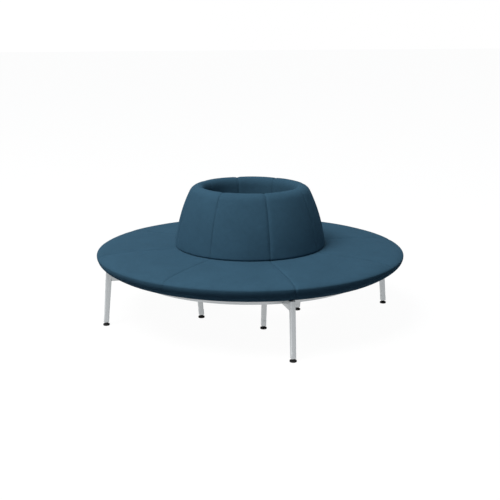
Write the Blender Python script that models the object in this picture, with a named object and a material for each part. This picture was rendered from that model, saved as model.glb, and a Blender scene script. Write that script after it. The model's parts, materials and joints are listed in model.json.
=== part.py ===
"""Round sofa: four quarter modules of seat and backrest on a metal frame with eight legs.

The floor is at z = 0 and the sofa's axis is the Z axis. Sizes are in metres, angles in radians.
Leg frame 1 lies on +X and the others follow anticlockwise. Module 1 lies between frames 1 and 2.
"""

import math

import bmesh
import bpy
from mathutils import Vector
from mathutils.geometry import interpolate_bezier

# Whole sofa
MODULES = 4
MODULE_ANGLE = math.tau / MODULES
SEAT_RADIUS = 0.900
SEAT_HEIGHT = 0.434
BACK_RISE = 0.353
WELL_RADIUS = 0.266

# Clearances
TOUCH = 0.0003
LOOSE = 0.002
MODULE_GAP = 0.0012
CUT_OVERRUN = 0.005

# Seat cushion and the board under it
CUSHION_THICKNESS = 0.0994
BOARD_THICKNESS = 0.018
BOARD_EDGE_ROOM = 0.006
NOSE_DROP = 0.0396
NOSE_REACH = 0.357
NOSE_TUCK = 0.0747
LIP_WIDTH = 0.010
LIP_DEPTH = 0.016
SEAT_INNER_ROUND = 0.014
SEAT_INNER_FALL = 0.002
UPPER_NOSE_SHARES = ((0.646, 0.086), (1.0, 0.309))
LOWER_NOSE_SHARES = ((0.0, 0.433), (0.372, 0.672))

# Backrest, outside
BACK_BASE_DEPTH = 0.1755
BACK_HEEL_ROUND = 0.0095
SHOULDER_OUTSET = 0.0889
SHOULDER_DROP = 0.0379
RIDGE_OUTSET = 0.034
ROLL_DROP = 0.050
BACK_FACE_SHARES = ((0.160, 0.383), (0.479, 0.694))
SHOULDER_SHARES = ((0.182, 0.586), (0.530, 1.0))
ROLL_SHARES = ((0.5, 0.0), (1.0, 0.3))

# Backrest, inside
BACK_PADDING = 0.038
TOP_PADDING = 0.0297
END_PADDING = 0.010
WELL_PADDING = 0.009
WELL_PAD_ROUND = 0.003
SHELL_THICKNESS = 0.012
LINER_THICKNESS = 0.012
TOP_RIB_THICKNESS = 0.012
RIB_THICKNESS = 0.015
RIB_INSET = 0.045

# Sewing: joints between modules, the seam in the middle of each and the crown of each panel
JOINT_ROUND = 0.008
SEAM_DEPTH = 0.0025
SEAM_HALF_WIDTH = 0.006
PANEL_CROWN = 0.0015
WELL_SOFT_SHARE = 0.35
PANEL_STEPS = 6

# Leg frames
BEAM_WIDTH = 0.025
BEAM_HEIGHT = 0.052
RAIL_WIDTH = 0.020
RAIL_HEIGHT = 0.050
TUBE_WALL = 0.0025
TUBE_CORNER = 0.003
TUBE_INNER_CORNER = 0.00175
OUTER_FOOT_INSET = 0.038
OUTER_RAIL_INSET = 0.198
INNER_FOOT_OUTSET = 0.033
INNER_RAIL_OUTSET = 0.134
LEG_LEAN_SHARE = 0.0845
LEG_WIDTH = 0.027
LEG_TOP_DEPTH = 0.0335
LEG_FOOT_DEPTH = 0.027
LEG_CORNER = 0.0045
LEG_ELBOW = 0.009
LEG_HEAD_RISE = 0.014
LEG_SLEEVE_HEIGHT = 0.032
LEG_SLEEVE_STEP = 0.0012
SPIGOT_LENGTH = 0.040

# Levelling glides
GLIDE_RADIUS = 0.019
GLIDE_THICKNESS = 0.0095
GLIDE_EDGE = 0.0025
GLIDE_CHAMFER = 0.001
GLIDE_DOME_RISE = 0.005
NECK_RADIUS = 0.0075
NECK_HEIGHT = 0.0042
STEM_RADIUS = 0.004
STEM_LENGTH = 0.036
STEM_CLEARANCE = 0.0004
BORE_SPARE_DEPTH = 0.002

# Facets
SECTOR_STEPS = 12
OUTER_RAIL_STEPS = 11
INNER_RAIL_STEPS = 8
GLIDE_FACETS = 20
BORE_FACETS = 16
CORNER_STEPS = 2
SHARP_ANGLE = math.radians(35)
SOFT_SHARP_ANGLE = math.radians(50)

# Heights and radii that follow from the sizes above
BOARD_TOP = SEAT_HEIGHT - CUSHION_THICKNESS - TOUCH
BOARD_BOTTOM = BOARD_TOP - BOARD_THICKNESS
FRAME_TOP = BOARD_BOTTOM - TOUCH
BEAM_BOTTOM = FRAME_TOP - BEAM_HEIGHT
CORE_BOTTOM = BOARD_TOP + TOUCH
BACK_TOP = SEAT_HEIGHT + BACK_RISE
BACK_BOTTOM = SEAT_HEIGHT + TOUCH
TOP_RIB_TOP = BACK_TOP - TOP_PADDING - TOUCH
SHELL_TOP = TOP_RIB_TOP - TOP_RIB_THICKNESS - TOUCH
REBATE_RADIUS = SEAT_RADIUS - NOSE_TUCK - LIP_WIDTH
BOARD_RADIUS = REBATE_RADIUS - BOARD_EDGE_ROOM
BACK_BASE_RADIUS = WELL_RADIUS + BACK_BASE_DEPTH
SHOULDER_RADIUS = WELL_RADIUS + SHOULDER_OUTSET
RIDGE_RADIUS = WELL_RADIUS + RIDGE_OUTSET
SHELL_RADIUS = BACK_BASE_RADIUS - BACK_PADDING
SEAT_INNER_RADIUS = SHELL_RADIUS + LOOSE + TOUCH
CAVITY_RADIUS = WELL_RADIUS + WELL_PADDING + LOOSE
LINER_RADIUS = CAVITY_RADIUS + LOOSE
OUTER_FOOT_RADIUS = SEAT_RADIUS - OUTER_FOOT_INSET
OUTER_RAIL_RADIUS = SEAT_RADIUS - OUTER_RAIL_INSET
INNER_FOOT_RADIUS = WELL_RADIUS + INNER_FOOT_OUTSET
INNER_RAIL_RADIUS = WELL_RADIUS + INNER_RAIL_OUTSET
NECK_TOP = GLIDE_THICKNESS + GLIDE_DOME_RISE + NECK_HEIGHT
LEG_FOOT = NECK_TOP + TOUCH
UPHOLSTERY_END = MODULE_GAP / 2
CORE_END = UPHOLSTERY_END + END_PADDING + LOOSE


def make_material(name, color, roughness, metallic):
    """Returns a plain Principled material."""
    material = bpy.data.materials.new(name)
    material.use_nodes = True
    shader = material.node_tree.nodes["Principled BSDF"]
    shader.inputs["Base Color"].default_value = (*color, 1.0)
    shader.inputs["Roughness"].default_value = roughness
    shader.inputs["Metallic"].default_value = metallic
    return material


def clear_scene():
    """Removes every object of the scene."""
    for item in list(bpy.data.objects):
        bpy.data.objects.remove(item, do_unlink=True)


def finish_mesh(name, bm, sharp_angle=SHARP_ANGLE):
    """Turns a bmesh into a smooth-shaded mesh whose faces point out."""
    bmesh.ops.recalc_face_normals(bm, faces=bm.faces)
    mesh = bpy.data.meshes.new(name)
    bm.to_mesh(mesh)
    bm.free()
    mesh.shade_smooth()
    mesh.set_sharp_from_angle(angle=sharp_angle)
    return mesh


def place(name, mesh, material, angle=0.0, location=(0.0, 0.0, 0.0)):
    """Adds an object that shows the mesh, turned about the sofa's axis."""
    item = bpy.data.objects.new(name, mesh)
    item.data.materials.clear()
    item.data.materials.append(material)
    item.location = location
    item.rotation_euler = (0.0, 0.0, angle)
    bpy.context.scene.collection.objects.link(item)
    return item


def combine(mesh, tool_mesh, operation):
    """Returns the mesh after a Boolean with the tool's mesh."""
    body = bpy.data.objects.new("body", mesh)
    tool = bpy.data.objects.new("tool", tool_mesh)
    bpy.context.scene.collection.objects.link(body)
    bpy.context.scene.collection.objects.link(tool)
    modifier = body.modifiers.new("combine", "BOOLEAN")
    modifier.operation = operation
    modifier.solver = "EXACT"
    modifier.object = tool
    depsgraph = bpy.context.evaluated_depsgraph_get()
    result = bpy.data.meshes.new_from_object(body.evaluated_get(depsgraph))
    bpy.data.objects.remove(body)
    bpy.data.objects.remove(tool)
    return result


def curve(start, end, shares, steps):
    """Points on a Bezier curve whose two handles lie at shares of the way in radius and height."""
    (leave_r, leave_z), (arrive_r, arrive_z) = shares
    run, rise = end[0] - start[0], end[1] - start[1]
    handle_1 = Vector((start[0] + leave_r * run, start[1] + leave_z * rise))
    handle_2 = Vector((start[0] + arrive_r * run, start[1] + arrive_z * rise))
    points = interpolate_bezier(Vector(start), handle_1, handle_2, Vector(end), steps + 1)
    return [(point[0], point[1]) for point in points]


def fillet(before, corner, after, radius, steps):
    """Points on the arc that rounds a corner between two straight lines."""
    corner = Vector(corner)
    back = (Vector(before) - corner).normalized()
    ahead = (Vector(after) - corner).normalized()
    half = back.angle(ahead) / 2
    centre = corner + (back + ahead).normalized() * radius / math.sin(half)
    start = corner + back * radius / math.tan(half) - centre
    end = corner + ahead * radius / math.tan(half) - centre
    first = math.atan2(start.y, start.x)
    sweep = math.remainder(math.atan2(end.y, end.x) - first, math.tau)
    turns = [first + sweep * step / steps for step in range(steps + 1)]
    return [(centre.x + radius * math.cos(a), centre.y + radius * math.sin(a)) for a in turns]


def rounded_rectangle(low, high, radius, steps):
    """Outline of a rectangle with rounded corners, from its low to its high corner."""
    corners = [(low[0], low[1]), (high[0], low[1]), (high[0], high[1]), (low[0], high[1])]
    outline = []
    for index, corner in enumerate(corners):
        after = corners[(index + 1) % len(corners)]
        outline += fillet(corners[index - 1], corner, after, radius, steps)
    return outline


def bridge(bm, ring_a, ring_b):
    """Joins two rings of as many vertices with a band of faces."""
    count = len(ring_a)
    for index in range(count):
        after = (index + 1) % count
        bm.faces.new((ring_a[index], ring_a[after], ring_b[after], ring_b[index]))


def loft(bm, sections):
    """Joins closed sections, each a list of points, into a run and returns their rings."""
    rings = [[bm.verts.new(point) for point in section] for section in sections]
    for ring_a, ring_b in zip(rings, rings[1:]):
        bridge(bm, ring_a, ring_b)
    return rings


def sector_point(radius, height, share, end_inset, offset=0.0):
    """Point of a module at a share of its sweep.

    The module's ends are planes beside the joint planes, end_inset away, and the offset moves the
    point on along its arc, so that seams and rounded ends are as wide at every radius.
    """
    end_angle = math.asin(end_inset / radius)
    angle = end_angle + share * (MODULE_ANGLE - 2 * end_angle) + math.asin(offset / radius)
    return radius * math.cos(angle), radius * math.sin(angle), height


def sector_sections(outline, end_inset, steps):
    """Copies of an outline in radius and height, spread evenly over a module."""
    shares = [step / steps for step in range(steps + 1)]
    return [[sector_point(r, z, share, end_inset) for r, z in outline] for share in shares]


def sector_mesh(name, outline, end_inset):
    """Solid made by turning an outline through one module."""
    bm = bmesh.new()
    rings = loft(bm, sector_sections(outline, end_inset, SECTOR_STEPS))
    bm.faces.new(rings[0])
    bm.faces.new(rings[-1])
    return finish_mesh(name, bm)


def draw_in(outline, softness, depth):
    """Moves each point of an anticlockwise outline inwards by its softness times the depth."""
    count = len(outline)
    moved = []
    for index, (r, z) in enumerate(outline):
        before, after = outline[index - 1], outline[(index + 1) % count]
        along = Vector((after[0] - before[0], after[1] - before[1])).normalized()
        reach = softness[index] * depth
        moved.append((r - along.y * reach, z + along.x * reach))
    return moved


def cushion_stations():
    """Places along a module, each a share of its sweep, an offset and a depth drawn in.

    The ends are quarter rounds, each panel swells between its seams, and the middle seam is a
    narrow channel.
    """
    half_round = JOINT_ROUND * (1 - math.cos(math.radians(45)))
    end = [(offset, JOINT_ROUND - math.sqrt(JOINT_ROUND**2 - (JOINT_ROUND - offset) ** 2))
           for offset in (0.0, half_round, JOINT_ROUND)]
    swell = [(step / PANEL_STEPS, PANEL_CROWN * (1 - math.sin(math.pi * step / PANEL_STEPS)))
             for step in range(1, PANEL_STEPS)]
    channel = [(-SEAM_HALF_WIDTH, 0.0), (0.0, SEAM_DEPTH), (SEAM_HALF_WIDTH, 0.0)]
    stations = [(0.0, offset, PANEL_CROWN + depth) for offset, depth in end]
    stations += [(share / 2, 0.0, depth) for share, depth in swell]
    stations += [(1 / 2, offset, PANEL_CROWN + depth) for offset, depth in channel]
    stations += [((1 + share) / 2, 0.0, depth) for share, depth in swell]
    stations += [(1.0, -offset, PANEL_CROWN + depth) for offset, depth in reversed(end)]
    return stations


def cushion_mesh(name, parts):
    """Solid upholstery from an outline given in parts, each with the softness of its points."""
    outline = [point for points, _ in parts for point in points]
    softness = [share for points, share in parts for _ in points]
    sections = []
    for share, offset, depth in cushion_stations():
        drawn = draw_in(outline, softness, depth)
        sections.append([sector_point(r, z, share, UPHOLSTERY_END, offset) for r, z in drawn])
    bm = bmesh.new()
    rings = loft(bm, sections)
    bm.faces.new(rings[0])
    bm.faces.new(rings[-1])
    return finish_mesh(name, bm, SOFT_SHARP_ANGLE)


def seat_outline_parts():
    """Section of a seat cushion: a flat pad with a full nose and a lip that hides the board."""
    bottom = CORE_BOTTOM
    inner_top = (SEAT_INNER_RADIUS, SEAT_HEIGHT - SEAT_INNER_FALL)
    nose_start = (SEAT_RADIUS - NOSE_REACH, SEAT_HEIGHT)
    equator = (SEAT_RADIUS, SEAT_HEIGHT - NOSE_DROP)
    lip_bottom = bottom - LIP_DEPTH
    lip = (SEAT_RADIUS - NOSE_TUCK, lip_bottom)
    board_side = [(SEAT_INNER_RADIUS, bottom), (REBATE_RADIUS, bottom), (REBATE_RADIUS, lip_bottom)]
    lower_nose = curve(equator, lip, LOWER_NOSE_SHARES, 5)[1:]
    upper_nose = curve(nose_start, equator, UPPER_NOSE_SHARES, 8)
    middle = ((inner_top[0] + nose_start[0]) / 2, SEAT_HEIGHT)
    wall_foot = (SEAT_INNER_RADIUS, bottom)
    inner_edge = fillet(middle, inner_top, wall_foot, SEAT_INNER_ROUND, CORNER_STEPS)
    return [(board_side, 0.0), (list(reversed(lower_nose)), 1.0), (list(reversed(upper_nose)), 1.0),
            ([middle], 1.0), (inner_edge, WELL_SOFT_SHARE)]


def back_face(steps):
    """Outer face of the backrest from its base to its shoulder."""
    base = (BACK_BASE_RADIUS, BACK_BOTTOM + BACK_HEEL_ROUND)
    shoulder = (SHOULDER_RADIUS, BACK_TOP - SHOULDER_DROP)
    return curve(base, shoulder, BACK_FACE_SHARES, steps)


def face_radius(height):
    """Radius of the backrest's outer face at a height, read from its curve."""
    points = back_face(4 * SECTOR_STEPS)
    for (low_r, low_z), (high_r, high_z) in zip(points, points[1:]):
        if low_z <= height <= high_z:
            return low_r + (high_r - low_r) * (height - low_z) / (high_z - low_z)
    return points[0][0] if height < points[0][1] else points[-1][0]


def back_outline_parts():
    """Section of a backrest cushion before its hollow is cut: a cone with a rolled top."""
    heel = (BACK_BASE_RADIUS, BACK_BOTTOM)
    face = back_face(7)
    ridge = (RIDGE_RADIUS, BACK_TOP)
    roll_end = (WELL_RADIUS, BACK_TOP - ROLL_DROP)
    shoulder = curve(face[-1], ridge, SHOULDER_SHARES, 4)[1:]
    roll = curve(ridge, roll_end, ROLL_SHARES, 4)[1:]
    pad_outer = WELL_RADIUS + WELL_PADDING
    pad_foot = fillet(roll_end, (WELL_RADIUS, BOARD_BOTTOM), (pad_outer, BOARD_BOTTOM),
                      WELL_PAD_ROUND, 1)
    wall_middle = (WELL_RADIUS, (BACK_TOP + BOARD_BOTTOM) / 2)
    inside = [(pad_outer, BOARD_BOTTOM), (pad_outer, CORE_BOTTOM), (SHELL_RADIUS, CORE_BOTTOM),
              (SHELL_RADIUS, BACK_BOTTOM)]
    heel_arc = fillet(inside[-1], heel, face[0], BACK_HEEL_ROUND, CORNER_STEPS)[:-1]
    return [(inside, 0.0), (heel_arc, 1.0), (face, 1.0), (shoulder, 1.0), (roll, 1.0),
            ([wall_middle], WELL_SOFT_SHARE), (pad_foot, WELL_SOFT_SHARE)]


def core_outline(outset, bottom, top, steps):
    """Outer line of the backrest's core from bottom to top, moved out by the outset."""
    start = BACK_BOTTOM + BACK_HEEL_ROUND
    heights = [start + (top - start) * step / steps for step in range(steps + 1)]
    line = [(face_radius(height) - BACK_PADDING + outset, height) for height in heights]
    return [(line[0][0], bottom)] + line


def back_cushion_mesh():
    """Backrest upholstery, closed at both ends and hollow from below."""
    whole = cushion_mesh("back_cushion", back_outline_parts())
    ceiling = TOP_RIB_TOP + TOUCH
    side = core_outline(LOOSE, CORE_BOTTOM - CUT_OVERRUN, SHELL_TOP, 5)
    hollow = [(CAVITY_RADIUS, side[0][1])] + side + [(side[-1][0], ceiling), (CAVITY_RADIUS, ceiling)]
    cutter = sector_mesh("hollow", hollow, CORE_END - LOOSE)
    return combine(whole, cutter, "DIFFERENCE")


def shell_mesh():
    """Bent outer panel of the backrest's core, which stands on the seat board."""
    outside = core_outline(0.0, CORE_BOTTOM, SHELL_TOP, 5)
    inside = [(r - SHELL_THICKNESS, z) for r, z in reversed(outside)]
    return sector_mesh("back_shell", outside + inside, CORE_END)


def liner_mesh():
    """Bent inner panel of the backrest's core, round the well."""
    outer = LINER_RADIUS + LINER_THICKNESS
    outline = [(LINER_RADIUS, CORE_BOTTOM), (outer, CORE_BOTTOM), (outer, SHELL_TOP),
               (LINER_RADIUS, SHELL_TOP)]
    return sector_mesh("back_liner", outline, CORE_END)


def top_rib_mesh():
    """Curved strip that lies on the panels and ribs and carries the rolled top."""
    outer = core_outline(0.0, CORE_BOTTOM, SHELL_TOP, 1)[-1][0]
    bottom = SHELL_TOP + TOUCH
    outline = [(LINER_RADIUS, bottom), (outer, bottom), (outer, TOP_RIB_TOP),
               (LINER_RADIUS, TOP_RIB_TOP)]
    return sector_mesh("back_top_rib", outline, CORE_END)


def rib_mesh():
    """Upright board across the hollow between the panels, shaped to the backrest's cone."""
    inner = LINER_RADIUS + LINER_THICKNESS + LOOSE
    side = core_outline(-SHELL_THICKNESS - LOOSE, CORE_BOTTOM, SHELL_TOP, 5)
    outline = [(inner, CORE_BOTTOM)] + side + [(inner, SHELL_TOP)]
    bm = bmesh.new()
    rings = loft(bm, [[(r, y, z) for r, z in outline] for y in (-RIB_THICKNESS / 2, RIB_THICKNESS / 2)])
    bm.faces.new(rings[0])
    bm.faces.new(rings[-1])
    return finish_mesh("back_rib", bm)


def board_mesh():
    """Quarter of the ring-shaped seat board."""
    outline = [(LINER_RADIUS, BOARD_BOTTOM), (BOARD_RADIUS, BOARD_BOTTOM), (BOARD_RADIUS, BOARD_TOP),
               (LINER_RADIUS, BOARD_TOP)]
    return sector_mesh("seat_board", outline, UPHOLSTERY_END)


def tube_outlines(low, high):
    """Outside and inside of a rectangular tube's section, with as many points each."""
    outside = rounded_rectangle(low, high, TUBE_CORNER, 1)
    inner_low = (low[0] + TUBE_WALL, low[1] + TUBE_WALL)
    inner_high = (high[0] - TUBE_WALL, high[1] - TUBE_WALL)
    inside = rounded_rectangle(inner_low, inner_high, TUBE_INNER_CORNER, 1)
    return outside, inside


def tube_mesh(name, outside_sections, inside_sections):
    """Open-ended tube between an outer and an inner run of sections."""
    bm = bmesh.new()
    outer = loft(bm, outside_sections)
    inner = loft(bm, inside_sections)
    bridge(bm, outer[0], inner[0])
    bridge(bm, outer[-1], inner[-1])
    return finish_mesh(name, bm)


def rail_mesh(name, radius, steps):
    """Curved tube from beam to beam under the seat boards."""
    low = (radius - RAIL_WIDTH, FRAME_TOP - RAIL_HEIGHT)
    outside, inside = tube_outlines(low, (radius, FRAME_TOP))
    end = BEAM_WIDTH / 2 + TOUCH
    return tube_mesh(name, sector_sections(outside, end, steps), sector_sections(inside, end, steps))


def leg_centre(foot_radius, lean, height):
    """Radius of a leg's centre line at a height; lean is 1 for an outer leg, -1 for an inner."""
    return foot_radius - lean * LEG_LEAN_SHARE * (height - LEG_FOOT)


def beam_end(foot_radius, lean):
    """Radius at which the beam's end meets the face of a leg's head."""
    return leg_centre(foot_radius, lean, BEAM_BOTTOM) - lean * LEG_TOP_DEPTH / 2


def beam_mesh():
    """Radial tube between the heads of an inner and an outer leg."""
    low = (-BEAM_WIDTH / 2, BEAM_BOTTOM)
    outside, inside = tube_outlines(low, (BEAM_WIDTH / 2, FRAME_TOP))
    ends = (beam_end(INNER_FOOT_RADIUS, -1) + TOUCH, beam_end(OUTER_FOOT_RADIUS, 1) - TOUCH)
    sections = [[[(r, y, z) for y, z in line] for r in ends] for line in (outside, inside)]
    return tube_mesh("radial_beam", *sections)


def spigot_mesh(head_face, lean):
    """Block on a leg's head that fills the beam's end with a small clearance."""
    inset = TUBE_WALL + TOUCH
    low = (inset - BEAM_WIDTH / 2, BEAM_BOTTOM + inset)
    high = (BEAM_WIDTH / 2 - inset, FRAME_TOP - inset)
    outline = rounded_rectangle(low, high, TUBE_INNER_CORNER, 1)
    ends = (head_face - lean * SPIGOT_LENGTH, head_face + lean * CUT_OVERRUN)
    bm = bmesh.new()
    rings = loft(bm, [[(r, y, z) for y, z in outline] for r in ends])
    bm.faces.new(rings[0])
    bm.faces.new(rings[-1])
    return finish_mesh("spigot", bm)


def bore_mesh(radius_from_axis):
    """Upright cylinder that cuts the bore for a glide's stem."""
    bottom = LEG_FOOT - CUT_OVERRUN
    top = NECK_TOP + STEM_LENGTH + BORE_SPARE_DEPTH
    bm = bmesh.new()
    radius = STEM_RADIUS + STEM_CLEARANCE
    bmesh.ops.create_cone(bm, cap_ends=True, segments=BORE_FACETS, radius1=radius, radius2=radius,
                          depth=top - bottom)
    bmesh.ops.translate(bm, verts=bm.verts, vec=(radius_from_axis, 0.0, (top + bottom) / 2))
    return finish_mesh("bore", bm)


def leg_profile(foot_radius, lean):
    """Side outline of a leg: a foot sleeve, a taper, and a head whose far corner is an elbow.

    An outer leg's elbow rises a little, behind the seat's nose.
    """
    def face(height, side, step=0.0):
        taper = min(1.0, (height - LEG_FOOT) / (BEAM_BOTTOM - LEG_FOOT))
        depth = LEG_FOOT_DEPTH + taper * (LEG_TOP_DEPTH - LEG_FOOT_DEPTH)
        return leg_centre(foot_radius, lean, height) + side * lean * (depth / 2 + step), height

    head_face = beam_end(foot_radius, lean)
    sleeve_top = LEG_FOOT + LEG_SLEEVE_HEIGHT
    chamfer_top = sleeve_top + LEG_SLEEVE_STEP
    far_corner = face(FRAME_TOP + max(0, lean) * LEG_HEAD_RISE, 1)
    elbow = fillet(face(chamfer_top, 1), far_corner, (head_face, FRAME_TOP), LEG_ELBOW, 3)
    far_side = [face(LEG_FOOT, 1, LEG_SLEEVE_STEP), face(sleeve_top, 1, LEG_SLEEVE_STEP),
                face(chamfer_top, 1), face(BEAM_BOTTOM, 1)]
    near_side = [(head_face, FRAME_TOP), (head_face, BEAM_BOTTOM), face(chamfer_top, -1),
                 face(sleeve_top, -1, LEG_SLEEVE_STEP), face(LEG_FOOT, -1, LEG_SLEEVE_STEP)]
    return far_side + elbow + near_side, head_face


def leg_mesh(name, foot_radius, lean):
    """Cast leg with rounded long edges, a spigot in the beam's end and a bore for the glide."""
    profile, head_face = leg_profile(foot_radius, lean)
    half = LEG_WIDTH / 2
    bm = bmesh.new()
    rings = loft(bm, [[(r, y, z) for r, z in profile] for y in (-half, half)])
    bm.faces.new(rings[0])
    bm.faces.new(rings[-1])
    long_edges = []
    for edge in bm.edges:
        a, b = (vertex.co for vertex in edge.verts)
        on_side = abs(a.y - b.y) < LEG_CORNER
        at_head = abs(a.x - head_face) + abs(b.x - head_face) < LEG_CORNER
        at_foot = max(a.z, b.z) < LEG_FOOT + LEG_CORNER
        if on_side and not at_head and not at_foot:
            long_edges.append(edge)
    bmesh.ops.bevel(bm, geom=long_edges, offset=LEG_CORNER, segments=CORNER_STEPS, profile=0.5,
                    affect="EDGES")
    body = finish_mesh(name, bm)
    body = combine(body, spigot_mesh(head_face, lean), "UNION")
    return combine(body, bore_mesh(foot_radius), "DIFFERENCE")


def glide_mesh():
    """Turned glide: a domed round foot, a neck that stops at the leg and a stem."""
    rim = GLIDE_RADIUS - GLIDE_EDGE
    dome_top = GLIDE_THICKNESS + GLIDE_DOME_RISE
    outline = [(0.0, 0.0), (GLIDE_RADIUS - GLIDE_CHAMFER, 0.0), (GLIDE_RADIUS, GLIDE_CHAMFER),
               (GLIDE_RADIUS, GLIDE_THICKNESS - GLIDE_EDGE), (rim, GLIDE_THICKNESS),
               (NECK_RADIUS, dome_top), (NECK_RADIUS, NECK_TOP), (STEM_RADIUS, NECK_TOP),
               (STEM_RADIUS, NECK_TOP + STEM_LENGTH), (0.0, NECK_TOP + STEM_LENGTH)]
    bm = bmesh.new()
    verts = [bm.verts.new((r, 0.0, z)) for r, z in outline]
    edges = [bm.edges.new(pair) for pair in zip(verts, verts[1:])]
    bmesh.ops.spin(bm, geom=verts + edges, cent=(0.0, 0.0, 0.0), axis=(0.0, 0.0, 1.0),
                   angle=math.tau, steps=GLIDE_FACETS, use_merge=True)
    bmesh.ops.remove_doubles(bm, verts=bm.verts, dist=TOUCH / 10)
    return finish_mesh("glide", bm)


def add_modules(fabric, plywood):
    """Upholstery, boards and backrest cores of the four modules."""
    meshes = {
        "seat_cushion": (cushion_mesh("seat_cushion", seat_outline_parts()), fabric),
        "seat_board": (board_mesh(), plywood),
        "back_cushion": (back_cushion_mesh(), fabric),
        "back_shell": (shell_mesh(), plywood),
        "back_liner": (liner_mesh(), plywood),
        "back_top_rib": (top_rib_mesh(), plywood),
    }
    for module in range(MODULES):
        for name, (mesh, material) in meshes.items():
            place(f"{name}_{module + 1}", mesh, material, module * MODULE_ANGLE)


def add_ribs(plywood):
    """Two upright ribs in each module, one near each end."""
    mesh = rib_mesh()
    inset = math.asin((CORE_END + RIB_INSET) / SHELL_RADIUS)
    for module in range(MODULES):
        for index, turn in enumerate((inset, MODULE_ANGLE - inset)):
            number = 2 * module + index + 1
            place(f"back_rib_{number}", mesh, plywood, module * MODULE_ANGLE + turn)


def add_frame(metal):
    """Radial beams, legs and curved rails."""
    meshes = {
        "radial_beam": beam_mesh(),
        "outer_leg": leg_mesh("outer_leg", OUTER_FOOT_RADIUS, 1),
        "inner_leg": leg_mesh("inner_leg", INNER_FOOT_RADIUS, -1),
        "outer_rail": rail_mesh("outer_rail", OUTER_RAIL_RADIUS, OUTER_RAIL_STEPS),
        "inner_rail": rail_mesh("inner_rail", INNER_RAIL_RADIUS, INNER_RAIL_STEPS),
    }
    for frame in range(MODULES):
        for name, mesh in meshes.items():
            place(f"{name}_{frame + 1}", mesh, metal, frame * MODULE_ANGLE)


def add_glides(plastic):
    """A levelling glide under each leg, with its origin on the stem's axis at the floor."""
    mesh = glide_mesh()
    for frame in range(MODULES):
        angle = frame * MODULE_ANGLE
        for side, radius in (("outer", OUTER_FOOT_RADIUS), ("inner", INNER_FOOT_RADIUS)):
            spot = (radius * math.cos(angle), radius * math.sin(angle), 0.0)
            place(f"{side}_glide_{frame + 1}", mesh, plastic, angle, spot)


def main():
    clear_scene()
    fabric = make_material("upholstery", (0.045, 0.107, 0.162), 0.85, 0.0)
    plywood = make_material("plywood", (0.52, 0.38, 0.23), 0.6, 0.0)
    metal = make_material("painted_metal", (0.45, 0.47, 0.48), 0.4, 0.6)
    plastic = make_material("black_plastic", (0.012, 0.012, 0.012), 0.45, 0.0)
    add_modules(fabric, plywood)
    add_ribs(plywood)
    add_frame(metal)
    add_glides(plastic)


main()
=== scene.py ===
"""Round sofa: upholstery, metal leg frames and glides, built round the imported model.

The floor is at z = 0 and the sofa's axis is the Z axis. Sizes are in metres. Leg frame 1 lies
on +X and the others follow anticlockwise, and module 1 lies between frames 1 and 2.
"""

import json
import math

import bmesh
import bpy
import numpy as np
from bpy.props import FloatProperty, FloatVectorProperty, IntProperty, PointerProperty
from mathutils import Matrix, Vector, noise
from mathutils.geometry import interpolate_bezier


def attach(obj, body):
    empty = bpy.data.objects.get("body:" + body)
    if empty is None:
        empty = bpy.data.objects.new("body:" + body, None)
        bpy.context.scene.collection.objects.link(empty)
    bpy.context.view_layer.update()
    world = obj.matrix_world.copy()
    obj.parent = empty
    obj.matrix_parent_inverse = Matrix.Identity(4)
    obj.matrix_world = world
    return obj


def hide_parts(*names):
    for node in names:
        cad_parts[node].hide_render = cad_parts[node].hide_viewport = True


bl_info = {
    "name": "Round sofa",
    "version": (1, 0, 0),
    "blender": (4, 5, 0),
    "location": "3D View > Sidebar > Round sofa",
    "description": "Builds a round sofa of four quarter modules on eight metal legs",
    "category": "Object",
}

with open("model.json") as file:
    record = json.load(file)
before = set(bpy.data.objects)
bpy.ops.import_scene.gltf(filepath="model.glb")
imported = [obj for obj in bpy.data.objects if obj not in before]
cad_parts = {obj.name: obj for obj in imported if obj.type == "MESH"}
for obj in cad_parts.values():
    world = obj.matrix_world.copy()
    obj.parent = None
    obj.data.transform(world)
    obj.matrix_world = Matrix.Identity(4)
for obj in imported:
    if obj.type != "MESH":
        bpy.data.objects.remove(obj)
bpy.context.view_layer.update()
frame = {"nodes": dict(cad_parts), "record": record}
SLOT_COLORS = {slot["slot"]: tuple(slot["base_color"][:3]) for slot in frame["record"]["materials"]}

# Whole sofa
MODULES = 4
MODULE_ANGLE = math.tau / MODULES
SEAM_ANGLE = MODULE_ANGLE / 2
SEAT_RADIUS = 0.900
SEAT_HEIGHT = 0.434
BACK_RISE = 0.353
WELL_RADIUS = 0.266
TOUCH = 0.0003
LOOSE = 0.002
MODULE_GAP = 0.0012

# Seat cushion and the board under it
CUSHION_THICKNESS = 0.0994
BOARD_THICKNESS = 0.018
BOARD_EDGE_ROOM = 0.006
NOSE_DROP = 0.0396
NOSE_REACH = 0.357
NOSE_TUCK = 0.0747
LIP_WIDTH = 0.010
LIP_DEPTH = 0.016
SEAT_INNER_ROUND = 0.014
SEAT_INNER_FALL = 0.002
UPPER_NOSE_SHARES = ((0.646, 0.086), (1.0, 0.309))
LOWER_NOSE_SHARES = ((0.0, 0.433), (0.372, 0.672))

# Backrest
BACK_BASE_DEPTH = 0.1755
BACK_HEEL_ROUND = 0.0095
SHOULDER_OUTSET = 0.0889
SHOULDER_DROP = 0.0379
RIDGE_OUTSET = 0.034
ROLL_DROP = 0.050
BACK_PADDING = 0.038
WELL_PADDING = 0.009
WELL_PAD_ROUND = 0.003
BACK_FACE_SHARES = ((0.160, 0.383), (0.479, 0.694))
SHOULDER_SHARES = ((0.182, 0.586), (0.530, 1.0))
ROLL_SHARES = ((0.5, 0.0), (1.0, 0.3))
WELL_SOFT_SHARE = 0.35

# Upholstery: depth of the seams and ends by place, times their set depth
LIP_SEAM = 0.3
SEAT_TOP_SEAM = 1.35
HEEL_SEAM = 0.4
WELL_SEAM = 0.8

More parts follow.
